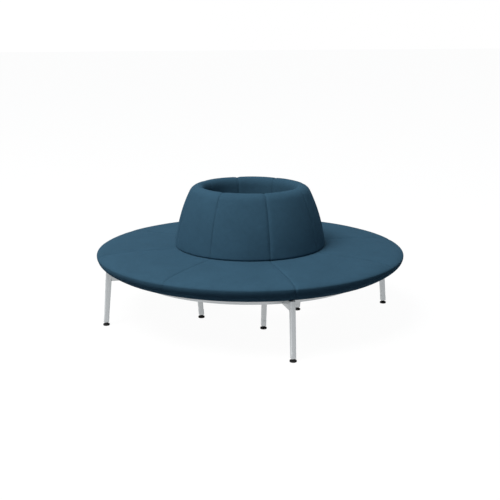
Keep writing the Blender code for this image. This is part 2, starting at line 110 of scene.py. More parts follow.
# Upholstery: shape of the seams, the filling and the small folds
GROOVE_POWER = 1.6
HELD_FREEDOM = 0.01
FOAM_CROWNS = 2.2
MOST_CROWNS = 1.12
STILL_END = 0.002
END_FADE = 0.006
FOLD_PLACE = 0.010
FOLD_SPREAD = 0.012
FOLDS_PER_METRE = 45.0
HOLLOWS_PER_METRE = 5.5
HOLLOW_FADE = 0.05
NOISE_SPAN = 0.5
SEAM_SPAN = 0.05

# Leg frames
BEAM_WIDTH = 0.025
BEAM_HEIGHT = 0.052
RAIL_WIDTH = 0.020
RAIL_HEIGHT = 0.050
TUBE_CORNER = 0.003
BOARD_CORNER = 0.001
OUTER_FOOT_INSET = 0.038
OUTER_RAIL_INSET = 0.198
INNER_FOOT_OUTSET = 0.033
INNER_RAIL_OUTSET = 0.134
LEG_LEAN_SHARE = 0.0845
LEG_WIDTH = 0.027
LEG_TOP_DEPTH = 0.0335
LEG_FOOT_DEPTH = 0.027
LEG_CORNER = 0.0058
LEG_ELBOW = 0.009
LEG_HEAD_RISE = 0.014
LEG_SLEEVE_HEIGHT = 0.032
LEG_SLEEVE_STEP = 0.0012

# Levelling glides
GLIDE_RADIUS = 0.019
GLIDE_THICKNESS = 0.0095
GLIDE_EDGE = 0.0025
GLIDE_CHAMFER = 0.001
GLIDE_DOME_RISE = 0.005
GLIDE_ROUND = 0.002
DOME_SHARES = ((0.35, 0.3), (0.75, 0.95))
NECK_RADIUS = 0.0075
NECK_HEIGHT = 0.0042
STEM_RADIUS = 0.004
STEM_LENGTH = 0.036
STEM_CLEARANCE = 0.0004
BORE_SPARE_DEPTH = 0.002

# Heights and radii that follow
BOARD_TOP = SEAT_HEIGHT - CUSHION_THICKNESS - TOUCH
BOARD_BOTTOM = BOARD_TOP - BOARD_THICKNESS
FRAME_TOP = BOARD_BOTTOM - TOUCH
BEAM_BOTTOM = FRAME_TOP - BEAM_HEIGHT
CORE_BOTTOM = BOARD_TOP + TOUCH
BACK_TOP = SEAT_HEIGHT + BACK_RISE
BACK_BOTTOM = SEAT_HEIGHT + TOUCH
REBATE_RADIUS = SEAT_RADIUS - NOSE_TUCK - LIP_WIDTH
BOARD_RADIUS = REBATE_RADIUS - BOARD_EDGE_ROOM
BACK_BASE_RADIUS = WELL_RADIUS + BACK_BASE_DEPTH
SHOULDER_RADIUS = WELL_RADIUS + SHOULDER_OUTSET
RIDGE_RADIUS = WELL_RADIUS + RIDGE_OUTSET
SHELL_RADIUS = BACK_BASE_RADIUS - BACK_PADDING
SEAT_INNER_RADIUS = SHELL_RADIUS + LOOSE + TOUCH
LINER_RADIUS = WELL_RADIUS + WELL_PADDING + 2 * LOOSE
OUTER_FOOT_RADIUS = SEAT_RADIUS - OUTER_FOOT_INSET
OUTER_RAIL_RADIUS = SEAT_RADIUS - OUTER_RAIL_INSET
INNER_FOOT_RADIUS = WELL_RADIUS + INNER_FOOT_OUTSET
INNER_RAIL_RADIUS = WELL_RADIUS + INNER_RAIL_OUTSET
NECK_TOP = GLIDE_THICKNESS + GLIDE_DOME_RISE + NECK_HEIGHT
LEG_FOOT = NECK_TOP + TOUCH

# Facets and working steps
FADE_ROWS = 4
PANEL_COLUMNS = 22
SIM_COLUMNS = 64
CLOTH_QUALITY = 6
SEAM_PLACES = (0.0008, 0.0020, 0.0038, 0.0062, 0.0095, 0.0138, 0.0195)
RAIL_STEPS = 48
GLIDE_STEPS = 48
TUBE_CORNER_STEPS = 4
LEG_CORNER_STEPS = 5
ELBOW_STEPS = 8
HARD_EDGE = math.radians(30)
GLIDE_EDGE_ANGLE = math.radians(35)
CLOTH_EDGE_ANGLE = math.radians(50)
SAME_PLACE = 1e-5
CLOTH_INSET = 0.00025
CAP_RIM = 0.0015
SHEET_NAME = "Cloth"

# Finishes
STITCH_SHARE = 0.72
STITCH_HALF_WIDTH = 0.0005
CHANNEL_HALF_WIDTH = 0.0014
# Width of the painted shade along a middle seam's crease
CREASE_SHADE_HALF_WIDTH = 0.0018
PLY_THICKNESS = 0.0015

# Stage
SENSOR_WIDTH = 36.0
VIEW_END = 200.0
FLOOR_HALF_SIZE = 60.0
FLOOR_GLOW = 1.045
FLOOR_GLOW_SHARE = 0.92
SHADOW_WHITE = (0.9, 0.9, 0.9, 1.0)
HORIZON_LIGHT = 0.4
ZENITH_LIGHT = 1.2
WHITE = (1.0, 1.0, 1.0, 1.0)


class ClothSettings(bpy.types.PropertyGroup):
    """Colour, weave and sewing of the upholstery."""

    color: FloatVectorProperty(
        name="Colour", description="Colour of the cloth", subtype="COLOR", min=0.0, max=1.0,
        default=SLOT_COLORS["upholstery"])
    pitch: FloatProperty(
        name="Thread pitch", description="Distance from thread to thread", unit="LENGTH",
        min=0.0005, max=0.01, default=0.0013)
    stitch_length: FloatProperty(
        name="Stitch length", description="Length of a stitch and the space after it",
        unit="LENGTH", min=0.001, max=0.02, default=0.0045)
    stitch_inset: FloatProperty(
        name="Stitch inset", description="Distance from a seam to the stitches beside it",
        unit="LENGTH", min=0.001, max=0.02, default=0.0055)


class PaddingSettings(bpy.types.PropertyGroup):
    """How the padding fills the cloth."""

    crown: FloatProperty(
        name="Crown", description="How far a panel stands out between its seams", unit="LENGTH",
        min=0.0, max=0.02, default=0.003)
    foam_reach: FloatProperty(
        name="Foam reach", description="Distance from a seam over which the foam fills the cloth",
        unit="LENGTH", min=0.001, max=0.2, default=0.030)
    pressure: FloatProperty(
        name="Pressure", description="Pressure of the padding in the cloth simulation",
        min=0.0, max=50.0, default=4.0)
    slack: FloatProperty(
        name="Slack", description="Share by which the cloth is cut larger than the padding",
        subtype="FACTOR", min=0.0, max=0.1, default=0.015)
    frames: IntProperty(
        name="Frames", description="Length of the cloth simulation", min=1, max=100, default=20)
    seat_seam_depth: FloatProperty(
        name="Seat seam depth", description="Depth of the seam in the middle of a seat cushion",
        unit="LENGTH", min=0.0, max=0.01, default=0.0005)
    back_seam_depth: FloatProperty(
        name="Back seam depth", description="Depth of the seam in the middle of a back cushion",
        unit="LENGTH", min=0.0, max=0.01, default=0.0015)
    seam_half_width: FloatProperty(
        name="Seam half width", description="How far a seam draws in the cloth beside it",
        unit="LENGTH", min=0.001, max=0.05, default=0.006)
    end_depth: FloatProperty(
        name="End depth", description="Depth of the soft slope to a module's ends",
        unit="LENGTH", min=0.0, max=0.02, default=0.0030)
    end_slope: FloatProperty(
        name="End slope", description="Width of the soft slope to a module's ends",
        unit="LENGTH", min=0.001, max=0.02, default=0.019)
    pucker: FloatProperty(
        name="Pucker", description="Depth of the small folds along the seams", unit="LENGTH",
        min=0.0, max=0.005, default=0.0005)
    unevenness: FloatProperty(
        name="Unevenness", description="Depth of the broad hollows of the padding",
        unit="LENGTH", min=0.0, max=0.005, default=0.0006)


class FrameSettings(bpy.types.PropertyGroup):
    """Colours of the frame, the glides and the boards."""

    metal: FloatVectorProperty(
        name="Metal", description="Colour of the powder coat", subtype="COLOR",
        min=0.0, max=1.0, default=SLOT_COLORS["frame_metal"])
    glide: FloatVectorProperty(
        name="Glides", description="Colour of the glides", subtype="COLOR",
        min=0.0, max=1.0, default=SLOT_COLORS["black_plastic"])
    plywood: FloatVectorProperty(
        name="Plywood", description="Colour of the boards", subtype="COLOR",
        min=0.0, max=1.0, default=SLOT_COLORS["plywood"])


class StageSettings(bpy.types.PropertyGroup):
    """Camera, lamp, world and floor."""

    lens: FloatProperty(
        name="Lens", description="Focal length of the camera", subtype="DISTANCE_CAMERA",
        min=10.0, max=300.0, default=67.27)
    camera: FloatVectorProperty(
        name="Camera", description="Place of the camera", subtype="XYZ", unit="LENGTH",
        default=(-1.3963, -5.2112, 1.690))
    target: FloatVectorProperty(
        name="Target", description="Point in the middle of the view", subtype="XYZ",
        unit="LENGTH", default=(0.0, 0.0, 0.394))
    key_direction: FloatVectorProperty(
        name="Key direction", subtype="XYZ", default=(-0.35, 0.39, 0.85),
        description="Way to the large lamp: to the right, towards the camera and up")
    key_power: FloatProperty(
        name="Key", description="Power of the large lamp at the upper left", unit="POWER",
        min=0.0, max=5000.0, default=1170.0)
    key_distance: FloatProperty(
        name="Key distance", description="Distance of the large lamp from the target",
        unit="LENGTH", min=1.0, max=50.0, default=12.0)
    key_size: FloatProperty(
        name="Key size", description="Diameter of the large lamp", unit="LENGTH",
        min=0.1, max=20.0, default=7.0)
    ambient: FloatProperty(
        name="Ambient", description="Light that comes from all sides", min=0.0, max=2.0,
        default=0.17)
    ambient_color: FloatVectorProperty(
        name="Ambient colour", description="Colour of the light that comes from all sides",
        subtype="COLOR", min=0.0, max=2.0, default=(0.90, 1.01, 1.10))
    shade: FloatProperty(
        name="Dark side", description="How dark the metal mirrors the studio's right side",
        subtype="FACTOR", min=0.0, max=1.0, default=0.75)
    glint: FloatProperty(
        name="Bright side", description="How much brighter the metal mirrors its left side",
        min=0.0, max=3.0, default=0.9)
    floor: FloatVectorProperty(
        name="Floor", description="Colour of the light that the floor throws back",
        subtype="COLOR", min=0.0, max=1.0, default=(0.12, 0.13, 0.15))


class SofaSettings(bpy.types.PropertyGroup):
    """All the settings of the sofa."""

    cloth: PointerProperty(type=ClothSettings)
    padding: PointerProperty(type=PaddingSettings)
    frame: PointerProperty(type=FrameSettings)
    stage: PointerProperty(type=StageSettings)


def math_methods(operation):
    """Methods that add a Math node to a socket on an operator's left side, or on its right."""
    def forward(self, other):
        return self.paint.math(operation, self, other)

    def reverse(self, other):
        return self.paint.math(operation, other, self)

    return forward, reverse


class Value:
    """A shader socket in an expression: its operators add Math nodes to the material."""

    def __init__(self, paint, socket):
        self.paint = paint
        self.socket = socket

    __add__, __radd__ = math_methods("ADD")
    __sub__, __rsub__ = math_methods("SUBTRACT")
    __mul__, __rmul__ = math_methods("MULTIPLY")
    __truediv__, __rtruediv__ = math_methods("DIVIDE")
    __lt__, __gt__ = math_methods("LESS_THAN")


class Paint:
    """Node tree of a material or of the world, filled by add and by expressions."""

    def __init__(self, owner):
        owner.use_nodes = True
        self.owner = owner
        self.tree = owner.node_tree
        self.tree.nodes.clear()

    def add(self, kind, settings, sockets, output=0):
        """Adds a node, makes its settings, fills its sockets and returns an output."""
        node = self.tree.nodes.new(kind)
        for name, value in settings.items():
            if name == "stops":
                self.set_stops(node.color_ramp, value)
            else:
                setattr(node, name, value)
        for name, value in sockets.items():
            if isinstance(value, Value):
                self.tree.links.new(value.socket, node.inputs[name])
            else:
                node.inputs[name].default_value = value
        return Value(self, node.outputs[output]) if node.outputs else None

    def set_stops(self, ramp, stops):
        """Gives a colour ramp its stops, each a position and a grey value."""
        while len(ramp.elements) < len(stops):
            ramp.elements.new(1.0)
        for element, (position, grey) in zip(ramp.elements, stops):
            element.position = position
            element.color = (grey, grey, grey, 1.0)

    def math(self, operation, *values):
        return self.add("ShaderNodeMath", {"operation": operation}, dict(enumerate(values)))

    def split(self, vector):
        """The X, Y and Z of a vector."""
        parts = self.add("ShaderNodeSeparateXYZ", {}, {0: vector})
        return [Value(self, socket) for socket in parts.socket.node.outputs]

    def join(self, x, y, z=0.0):
        return self.add("ShaderNodeCombineXYZ", {}, {0: x, 1: y, 2: z})

    def noise(self, vector, scale, detail, roughness):
        sockets = {"Vector": vector, "Scale": scale, "Detail": detail, "Roughness": roughness}
        return self.add("ShaderNodeTexNoise", {}, sockets, "Fac")

    def ramp(self, value, *stops):
        """The value remapped by linear stops."""
        return self.add("ShaderNodeValToRGB", {"stops": stops}, {0: value}, "Color")

    def mix(self, factor, color_a, color_b):
        sockets = {0: factor, 6: color_a, 7: color_b}
        return self.add("ShaderNodeMix", {"data_type": "RGBA"}, sockets, 2)

    def shades(self, value, low, high, color, darkest, lightest):
        """A colour from darkest to lightest as the value goes from low to high."""
        factor = self.ramp(value, (low, 0.0), (high, 1.0))
        return self.mix(factor, tone(color, darkest), tone(color, lightest))

    def bump(self, height, distance, strength):
        sockets = {"Height": height, "Distance": distance, "Strength": strength}
        return self.add("ShaderNodeBump", {}, sockets)

    def surface(self, sockets):
        """Adds the shader and links it to the output."""
        shader = self.add("ShaderNodeBsdfPrincipled", {}, sockets)
        self.add("ShaderNodeOutputMaterial", {}, {"Surface": shader})
        return self.owner


def tone(color, factor):
    """A colour made lighter or darker, with an alpha."""
    return (*(min(1.0, channel * factor) for channel in color), 1.0)


def cloth_material(settings):
    """Plain-woven wool cloth with flecked yarn and topstitching, with painted shade darkening the
    middle seams' creases and the stitch channels.
    """
    paint = Paint(bpy.data.materials.new("teal_cloth"))
    sheet = paint.add("ShaderNodeUVMap", {"uv_map": SHEET_NAME}, {})
    along, across, _ = paint.split(sheet)
    warp_place, weft_place = along / settings.pitch, across / settings.pitch
    warp = paint.math("SINE", paint.math("FRACT", warp_place) * math.pi)
    weft = paint.math("SINE", paint.math("FRACT", weft_place) * math.pi)
    over = paint.math("FLOORED_MODULO",
                      paint.math("FLOOR", warp_place) + paint.math("FLOOR", weft_place), 2.0)
    weave = over * warp * (0.55 + 0.45 * weft) + (1.0 - over) * weft * (0.55 + 0.45 * warp)

    seam = paint.add("ShaderNodeAttribute", {"attribute_name": "seam"}, {}, "Fac")
    row = paint.math("ABSOLUTE", seam - settings.stitch_inset)
    dash = paint.math("FRACT", along / settings.stitch_length) < STITCH_SHARE
    stitch = (row < STITCH_HALF_WIDTH) * dash
    # Stitch channel: a real groove in the bump, and painted shade that darkens its colour.
    channel = paint.ramp(row, (0.0, 1.0), (CHANNEL_HALF_WIDTH, 0.0))
    # Painted shade: the colour darkens towards the middle seam's crease.
    painted_crease_shade = paint.ramp(seam, (0.0, 1.0), (CREASE_SHADE_HALF_WIDTH, 0.0))

    place = paint.add("ShaderNodeTexCoord", {}, {}, "Object")
    cloudy = paint.noise(place, 5.0, 3.0, 0.55)
    mottled = paint.noise(place, 38.0, 3.0, 0.6)
    fleck_warp = paint.noise(paint.join(along * 90.0, across * 900.0), 1.0, 2.0, 0.6)
    fleck_weft = paint.noise(paint.join(along * 900.0, across * 90.0), 1.0, 2.0, 0.6)
    fleck = over * fleck_warp + (1.0 - over) * fleck_weft
    shade = 0.40 * fleck + 0.22 * weave + 0.22 * cloudy + 0.16 * mottled
    color = paint.shades(shade, 0.28, 0.72, settings.color, 0.72, 1.30)
    color = paint.mix(stitch * 0.35, color, tone(settings.color, 1.35))
    # Painted shade in the crease and in the stitch channels: the colour goes towards a dark copy of
    # the cloth.
    color = paint.mix(paint.math("MAXIMUM", painted_crease_shade * 0.25, channel * 0.08), color,
                      tone(settings.color, 0.25))
    fuzz = paint.noise(place, 650.0, 2.0, 0.6)
    height = 0.55 * weave + 0.25 * fleck + 0.2 * fuzz + 1.1 * stitch - 0.9 * channel
    return paint.surface({
        "Base Color": color,
        "Roughness": 0.82 + 0.14 * mottled,
        "Specular IOR Level": 0.03,
        "Sheen Weight": 0.10,
        "Sheen Roughness": 0.45,
        "Sheen Tint": tone(settings.color, 4.5),
        "Normal": paint.bump(height, 0.00028, 0.75),
    })


def metal_material(settings):
    """Silver-grey powder coat with fine flake and a slight orange peel."""
    paint = Paint(bpy.data.materials.new("silver_powder_coat"))
    place = paint.add("ShaderNodeTexCoord", {}, {}, "Object")
    flake = paint.noise(place, 1400.0, 2.0, 0.7)
    peel = paint.noise(place, 260.0, 2.0, 0.5)
    worn = paint.noise(place, 14.0, 3.0, 0.55)
    shade = 0.45 * flake + 0.30 * peel + 0.25 * worn
    return paint.surface({
        "Base Color": paint.shades(shade, 0.3, 0.7, settings.metal, 1.12, 1.30),
        "Metallic": 0.7,
        "Roughness": 0.30 + 0.10 * worn + 0.06 * flake,
        "Normal": paint.bump(0.6 * peel + 0.4 * flake, 0.00006, 0.6),
    })


def nylon_material(settings):
    """Black moulded nylon, finely textured and a little scuffed."""
    paint = Paint(bpy.data.materials.new("black_nylon"))
    place = paint.add("ShaderNodeTexCoord", {}, {}, "Object")
    grain = paint.noise(place, 1800.0, 2.0, 0.6)
    scuff = paint.noise(place, 120.0, 4.0, 0.65)
    return paint.surface({
        "Base Color": paint.shades(scuff, 0.50, 0.72, settings.glide, 1.0, 2.6),
        "Roughness": 0.50 + 0.25 * scuff,
        "Specular IOR Level": 0.2,
        "Normal": paint.bump(grain, 0.00008, 0.7),
    })


def plywood_material(settings):
    """Birch plywood: long grain on its faces and plies on its edges."""
    paint = Paint(bpy.data.materials.new("birch_plywood"))
    place = paint.add("ShaderNodeTexCoord", {}, {}, "Object")
    x, y, z = paint.split(place)
    grain = paint.noise(paint.join(x * 3.0, y * 42.0, z * 42.0), 1.0, 6.0, 0.62)
    pores = paint.noise(paint.join(x * 60.0, y * 900.0, z * 900.0), 1.0, 2.0, 0.5)
    ply = paint.math("FLOORED_MODULO", paint.math("FLOOR", z / PLY_THICKNESS), 2.0)
    shade = 0.62 * grain + 0.26 * pores + 0.12 * ply
    return paint.surface({
        "Base Color": paint.shades(shade, 0.34, 0.62, settings.plywood, 0.62, 1.22),
        "Roughness": 0.52 + 0.18 * grain,
        "Normal": paint.bump(0.6 * grain + 0.4 * pores, 0.00015, 0.6),
    })


def material_once(name, make, settings):
    """The material of that name, made when it is first asked for."""
    return bpy.data.materials.get(name) or make(settings)


def curve(start, end, shares, steps):
    """Points on a Bezier curve whose two handles lie at shares of the way in radius and height."""
    (leave_r, leave_z), (arrive_r, arrive_z) = shares
    run, rise = end[0] - start[0], end[1] - start[1]
    handle_1 = Vector((start[0] + leave_r * run, start[1] + leave_z * rise))
    handle_2 = Vector((start[0] + arrive_r * run, start[1] + arrive_z * rise))
    points = interpolate_bezier(Vector(start), handle_1, handle_2, Vector(end), steps + 1)
    return [(point[0], point[1]) for point in points]


def fillet(before, corner, after, radius, steps):
    """Points on the arc that rounds a corner between two straight lines."""
    corner = Vector(corner)
    back = (Vector(before) - corner).normalized()
    ahead = (Vector(after) - corner).normalized()
    half = back.angle(ahead) / 2
    centre = corner + (back + ahead).normalized() * radius / math.sin(half)
    start = corner + back * radius / math.tan(half) - centre
    end = corner + ahead * radius / math.tan(half) - centre
    first = math.atan2(start.y, start.x)
    turn = math.remainder(math.atan2(end.y, end.x) - first, math.tau)
    turns = [first + turn * step / steps for step in range(steps + 1)]
    return [(centre.x + radius * math.cos(a), centre.y + radius * math.sin(a)) for a in turns]


def line(start, end, steps):
    """Points after the start of a straight line, as far as its end."""
    return [(start[0] + (end[0] - start[0]) * step / steps,
             start[1] + (end[1] - start[1]) * step / steps) for step in range(1, steps + 1)]


def section_rows(*runs):
    """Joins runs of points into the rows of a section.

    A row is a radius, a height, how freely the cloth swells there and how deep its seams are.
    Each run gives the last two at its start and its end. The cloth's freedom goes to nothing
    over FADE_ROWS rows beside the places where it is held.
    """
    rows = []
    for points, (free_start, free_end), (seam_start, seam_end) in runs:
        for index, (radius, height) in enumerate(points):
            share = index / max(1, len(points) - 1)
            share *= share * (3 - 2 * share)
            rows.append((radius, height, free_start + (free_end - free_start) * share,
                         seam_start + (seam_end - seam_start) * share))
    return np.array(rows)


def turned_back(shares):
    """A curve's handle shares for the same curve run from its end to its start."""
    return tuple((1 - in_radius, 1 - in_height) for in_radius, in_height in shares[::-1])


def seat_section():
    """Seat cushion: a flat pad with a full nose and a lip that hides the board's edge."""
    lip_bottom = CORE_BOTTOM - LIP_DEPTH
    wall_foot = (SEAT_INNER_RADIUS, CORE_BOTTOM)
    rebate = (REBATE_RADIUS, CORE_BOTTOM)
    lip = (SEAT_RADIUS - NOSE_TUCK, lip_bottom)
    equator = (SEAT_RADIUS, SEAT_HEIGHT - NOSE_DROP)
    nose_start = (SEAT_RADIUS - NOSE_REACH, SEAT_HEIGHT)
    inner_top = (SEAT_INNER_RADIUS, SEAT_HEIGHT - SEAT_INNER_FALL)
    heel = (BACK_BASE_RADIUS + LOOSE, SEAT_HEIGHT)
    inner_edge = fillet(heel, inner_top, wall_foot, SEAT_INNER_ROUND, 3)
    lower = curve(lip, equator, turned_back(LOWER_NOSE_SHARES), 10)
    upper = curve(equator, nose_start, turned_back(UPPER_NOSE_SHARES), 28)[1:]
    top = line(nose_start, heel, 7)
    return section_rows(
        ([wall_foot] + line(wall_foot, rebate, 9), (0, 0), (0, 0)),
        ([(REBATE_RADIUS, lip_bottom)], (0, 0), (LIP_SEAM, LIP_SEAM)),
        (lower, (0, 1), (LIP_SEAM, 1)),
        (upper + top[:-FADE_ROWS], (1, 1), (1, SEAT_TOP_SEAM)),
        (top[-FADE_ROWS:], (1, 0), (SEAT_TOP_SEAM, SEAT_TOP_SEAM)),
        (inner_edge + line(inner_edge[-1], wall_foot, 5)[:-1], (0, 0), (0, 0)))


def back_section():
    """Backrest cushion: a conical face, a rounded top and the wall of the well."""
    pad_outer = WELL_RADIUS + WELL_PADDING
    base = (BACK_BASE_RADIUS, BACK_BOTTOM + BACK_HEEL_ROUND)
    shoulder = (SHOULDER_RADIUS, BACK_TOP - SHOULDER_DROP)
    ridge = (RIDGE_RADIUS, BACK_TOP)
    roll_end = (WELL_RADIUS, BACK_TOP - ROLL_DROP)
    inside = [(pad_outer, BOARD_BOTTOM), (pad_outer, CORE_BOTTOM)]
    inside += line(inside[-1], (SHELL_RADIUS, CORE_BOTTOM), 6)
    inside += line(inside[-1], (SHELL_RADIUS, BACK_BOTTOM), 5)
    heel = fillet(inside[-1], (BACK_BASE_RADIUS, BACK_BOTTOM), base, BACK_HEEL_ROUND, 5)
    face = curve(base, shoulder, BACK_FACE_SHARES, 24)
    top = curve(shoulder, ridge, SHOULDER_SHARES, 9)[1:]
    roll = curve(ridge, roll_end, ROLL_SHARES, 9)[1:]
    foot = fillet(roll_end, (WELL_RADIUS, BOARD_BOTTOM), inside[0], WELL_PAD_ROUND, 2)
    wall = line(roll_end, foot[0], 26)[:-1]
    return section_rows(
        (inside, (0, 0), (0, 0)),
        (heel[:-1], (0, 0), (HEEL_SEAM, 1)),
        (face[:FADE_ROWS + 1], (0, 1), (1, 1)),
        (face[FADE_ROWS + 1:] + top, (1, 1), (1, 1)),
        (roll, (1, WELL_SOFT_SHARE), (1, WELL_SEAM)),
        (wall[:-FADE_ROWS], (WELL_SOFT_SHARE, WELL_SOFT_SHARE), (WELL_SEAM, WELL_SEAM)),
        (wall[-FADE_ROWS:] + foot, (WELL_SOFT_SHARE, 0), (WELL_SEAM, 0)))


def new_mesh(name, bm):
    """Turns a bmesh into a smooth-shaded mesh."""
    mesh = bpy.data.meshes.new(name)
    bm.to_mesh(mesh)
    bm.free()
    mesh.shade_smooth()
    return mesh


def new_object(name, mesh, material=None):
    """Adds an object that shows the mesh."""
    item = bpy.data.objects.new(name, mesh)
    if material:
        mesh.materials.clear()
        mesh.materials.append(material)
    bpy.context.scene.collection.objects.link(item)
    return item


def add_piece(name, mesh, material, nodes, body="root"):
    """Adds a finished piece, which stands for CAD nodes and rides on a body."""
    item = new_object(name, mesh, material)
    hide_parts(*nodes)
    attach(item, body)
    return item


def read(collection, name, kind, width=1):
    """One property of all the elements of a mesh, as an array."""
    values = np.empty(len(collection) * width, kind)
    collection.foreach_get(name, values)
    return values.reshape(-1, width) if width > 1 else values


def points_of(mesh):
    return read(mesh.vertices, "co", np.float32, 3).astype(float)


def normals_of(mesh):
    return read(mesh.vertex_normals, "vector", np.float32, 3).astype(float)


def set_points(mesh, points):
    mesh.vertices.foreach_set("co", points.astype(np.float32).ravel())
    mesh.update()


def draw_in(rows, depths):
    """The radii and heights of an anticlockwise outline's rows, each moved in by its depth."""
    along = np.roll(rows[:, :2], -1, axis=0) - np.roll(rows[:, :2], 1, axis=0)
    along /= np.linalg.norm(along, axis=1)[:, None]
    return rows[:, :2] + np.stack((-along[:, 1], along[:, 0]), axis=1) * depths[:, None]


def wrap(rows, columns):
    """A section turned through one module into a tube, whose vertices know their rows."""
    bm = bmesh.new()
    layer = bm.verts.layers.int.new("row")
    verts = [bm.verts.new((row[0], 0.0, row[1])) for row in rows]
    for index, vert in enumerate(verts):
        vert[layer] = index
    edges = [bm.edges.new((verts[index - 1], verts[index])) for index in range(len(verts))]
    bmesh.ops.spin(bm, geom=verts + edges, cent=(0.0, 0.0, 0.0), axis=(0.0, 0.0, 1.0),
                   angle=MODULE_ANGLE, steps=columns)
    bmesh.ops.recalc_face_normals(bm, faces=bm.faces)
    return bm


def settle(bm, rows, columns, depth):
    """Moves the tube's columns to their places along the module, each drawn in by its depths.

    A column is a share of the module's sweep and an offset in metres, so that seams and
    rounded ends are as wide at every radius.
    """
    layer = bm.verts.layers.int["row"]
    step = MODULE_ANGLE / (len(columns) - 1)
    drawn = [draw_in(rows, depth(column)) for column in columns]
    for vert in bm.verts:
        number = round(math.atan2(vert.co.y, vert.co.x) / step)
        share, offset = columns[number]
        radius, height = drawn[number][vert[layer]]
        end = math.asin(CLOTH_INSET / radius)
        angle = end + share * (MODULE_ANGLE - 2 * end) + math.asin(offset / radius)
        vert.co = (radius * math.cos(angle), radius * math.sin(angle), height)


def close_ends(bm, swell=0.0):
    """Fills the tube's two ends with triangles, which can stand out from their rims."""
    rims = [edge for edge in bm.edges if edge.is_boundary]
    caps = bmesh.ops.holes_fill(bm, edges=rims, sides=0)["faces"]
    bmesh.ops.recalc_face_normals(bm, faces=bm.faces)
    if swell:
        bmesh.ops.inset_individual(bm, faces=caps, thickness=CAP_RIM, depth=swell)
    bmesh.ops.triangulate(bm, faces=caps, ngon_method="EAR_CLIP")
    bmesh.ops.recalc_face_normals(bm, faces=bm.faces)


def seam_columns():
    """Columns of a module: close together beside its ends and its seam, even in between."""
    reach = SEAM_PLACES[-1]
    inner = [(step / PANEL_COLUMNS / 2, reach * (1 - 2 * step / PANEL_COLUMNS))
             for step in range(1, PANEL_COLUMNS)]
    half = [(0.0, 0.0)] + [(0.0, place) for place in SEAM_PLACES] + inner
    half += [(1 / 2, -place) for place in reversed(SEAM_PLACES)]
    return half + [(1 / 2, 0.0)] + [(1 - share, -offset) for share, offset in reversed(half)]


def groove(column, padding, seam_depth):
    """Depth of the seam or of the soft end at a column."""
    share, offset = column
    if share in (0.0, 1.0):
        depth, width = padding.end_depth, padding.end_slope
    elif share == 1 / 2:
        depth, width = seam_depth, padding.seam_half_width
    else:
        return 0.0
    return depth * (1.0 - min(1.0, abs(offset) / width)) ** GROOVE_POWER


def seam_distance(points):
    """Distance of each point of module 1 from its middle seam, and from its nearer end."""
    middle = np.abs(points @ np.array((-math.sin(SEAM_ANGLE), math.cos(SEAM_ANGLE), 0.0)))
    end = np.minimum(points[:, 0], points[:, 1]) - CLOTH_INSET
    return middle, end.clip(0.0)


def sweep_share(points):
    """How far round module 1 each point lies, from 0 to 1."""
    return np.arctan2(points[:, 1], points[:, 0]) / MODULE_ANGLE


def blow_up(rows, padding):
    """How far a cloth simulation lifts the cover, for each row and each even column.

    The cover is held at the module's ends, at its seam and wherever it is stapled down.
    """
    lifts = np.zeros((len(rows), SIM_COLUMNS + 1))
    bm = wrap(rows, SIM_COLUMNS)
    even = [(number / SIM_COLUMNS, 0.0) for number in range(SIM_COLUMNS + 1)]
    settle(bm, rows, even, lambda column: rows[:, 2] * padding.crown)
    close_ends(bm)
    item = new_object("blown_up", new_mesh("blown_up", bm))
    row = read(item.data.attributes["row"].data, "value", np.int32)
    rest, normals = points_of(item.data), normals_of(item.data)
    middle, end = seam_distance(rest)
    held = (rows[row, 2] < HELD_FREEDOM) | (middle < LOOSE) | (end < LOOSE)
    moved = simulate(item, held, padding) - rest
    column = np.rint(sweep_share(rest) * SIM_COLUMNS).astype(int)
    lifts[row, column] = (moved * normals).sum(axis=1)
    mesh = item.data
    bpy.data.objects.remove(item)
    bpy.data.meshes.remove(mesh)
    return lifts


def simulate(item, held, padding):
    """Runs the cloth simulation on an object and returns where its points end."""
    group = item.vertex_groups.new(name="held")
    group.add([int(index) for index in np.flatnonzero(held)], 1.0, "REPLACE")
    modifier = item.modifiers.new("padding", "CLOTH")
    cloth = modifier.settings
    cloth.quality = CLOTH_QUALITY
    cloth.use_pressure = True
    cloth.uniform_pressure_force = padding.pressure
    cloth.shrink_min = -padding.slack
    cloth.vertex_group_mass = group.name
    cloth.effector_weights.gravity = 0.0
    modifier.point_cache.frame_start = 1
    modifier.point_cache.frame_end = padding.frames
    scene = bpy.context.scene
    for number in range(1, padding.frames + 1):
        scene.frame_set(number)
    shape = item.evaluated_get(bpy.context.evaluated_depsgraph_get())
    points = points_of(shape.to_mesh())
    shape.to_mesh_clear()
    scene.frame_set(1)
    return points


def fill_out(mesh, rows, lifts, padding):
    """Lifts the cover as the simulation did, and no less than the foam under it does."""
    points, normals = points_of(mesh), normals_of(mesh)
    row = read(mesh.attributes["row"].data, "value", np.int32)
    place = sweep_share(points) * SIM_COLUMNS
    first = np.clip(np.floor(place).astype(int), 0, SIM_COLUMNS - 1)
    part = place - first
    blown = lifts[row, first] * (1 - part) + lifts[row, first + 1] * part
    middle, end = seam_distance(points)
    filled = 1 - np.exp(-np.minimum(middle, end) / padding.foam_reach)
    foam = FOAM_CROWNS * padding.crown * filled
    most = MOST_CROWNS * padding.crown
    lift = most * (1 - np.exp(-np.maximum(blown, foam) / most)) * rows[row, 2]
    set_points(mesh, points + normals * lift[:, None])


def smooth_once(mesh):
    """The mesh after one subdivision."""
    item = new_object("smoothed", mesh)
    modifier = item.modifiers.new("smooth", "SUBSURF")
    modifier.levels = 1
    modifier.render_levels = 1
    depsgraph = bpy.context.evaluated_depsgraph_get()
    result = bpy.data.meshes.new_from_object(item.evaluated_get(depsgraph))
    bpy.data.objects.remove(item)
    bpy.data.meshes.remove(mesh)
    return result


